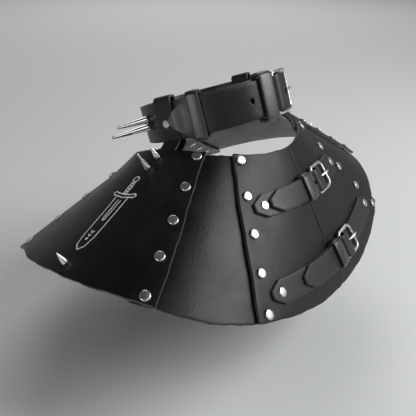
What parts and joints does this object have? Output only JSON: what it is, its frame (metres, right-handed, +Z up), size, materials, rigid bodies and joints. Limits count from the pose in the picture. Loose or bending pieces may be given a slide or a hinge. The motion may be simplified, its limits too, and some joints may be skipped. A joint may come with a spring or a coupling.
{
  "type": "leather gorget",
  "caption": "Leather neck and shoulder guard of overlapping riveted panels that hangs from a buckled neck strap, with cone spikes and two buckled closure straps.",
  "frame": {"origin": "centre of the mantle's neck edge, where the guard sits on the base of the wearer's neck", "axes": "+Z up, -Y to the wearer's front, +X to the wearer's left"},
  "size_m": [0.383, 0.2945, 0.1754],
  "materials": {
    "black_leather": "semi-gloss smooth hide",
    "strap_leather": "waxed bridle hide",
    "nickel": "nickel plated",
    "chrome": "polished"
  },
  "bodies": {
    "root": {"closure_lower_billet": "strap_leather", "closure_lower_buckle": "nickel", "closure_lower_chape": "strap_leather", "closure_upper_billet": "strap_leather", "closure_upper_buckle": "nickel", "closure_upper_chape": "strap_leather", "collar_buckle": "nickel", "collar_keeper_fixed": "strap_leather", "collar_keeper_sliding": "strap_leather", "collar_spike_left_1": "chrome", "collar_spike_left_2": "chrome", "collar_spike_right_1": "chrome", "collar_spike_right_2": "chrome", "collar_strap": "strap_leather", "hanger_left": "strap_leather", "hanger_right": "strap_leather", "panel_back_left": "black_leather", "panel_back_right": "black_leather", "panel_front": "black_leather", "panel_shoulder_left": "black_leather", "panel_shoulder_right": "black_leather", "panel_side_left": "black_leather", "panel_side_right": "black_leather", "rivet_back_left_1": "nickel", "rivet_back_left_2": "nickel", "rivet_back_left_3": "nickel", "rivet_back_left_4": "nickel", "rivet_back_left_5": "nickel", "rivet_back_right_1": "nickel", "rivet_back_right_2": "nickel", "rivet_back_right_3": "nickel", "rivet_back_right_4": "nickel", "rivet_back_right_5": "nickel", "rivet_front_left_1": "nickel", "rivet_front_left_2": "nickel", "rivet_front_left_3": "nickel", "rivet_front_left_4": "nickel", "rivet_front_left_5": "nickel", "rivet_front_right_1": "nickel", "rivet_front_right_2": "nickel", "rivet_front_right_3": "nickel", "rivet_front_right_4": "nickel", "rivet_front_right_5": "nickel", "rivet_side_left_1": "nickel", "rivet_side_left_2": "nickel", "rivet_side_left_3": "nickel", "rivet_side_left_4": "nickel", "rivet_side_left_5": "nickel", "rivet_side_right_1": "nickel", "rivet_side_right_2": "nickel", "rivet_side_right_3": "nickel", "rivet_side_right_4": "nickel", "rivet_side_right_5": "nickel", "spike_left_1": "chrome", "spike_left_2": "chrome", "spike_left_3": "chrome", "spike_right_1": "chrome", "spike_right_2": "chrome", "spike_right_3": "chrome"}
  },
  "joints": []
}
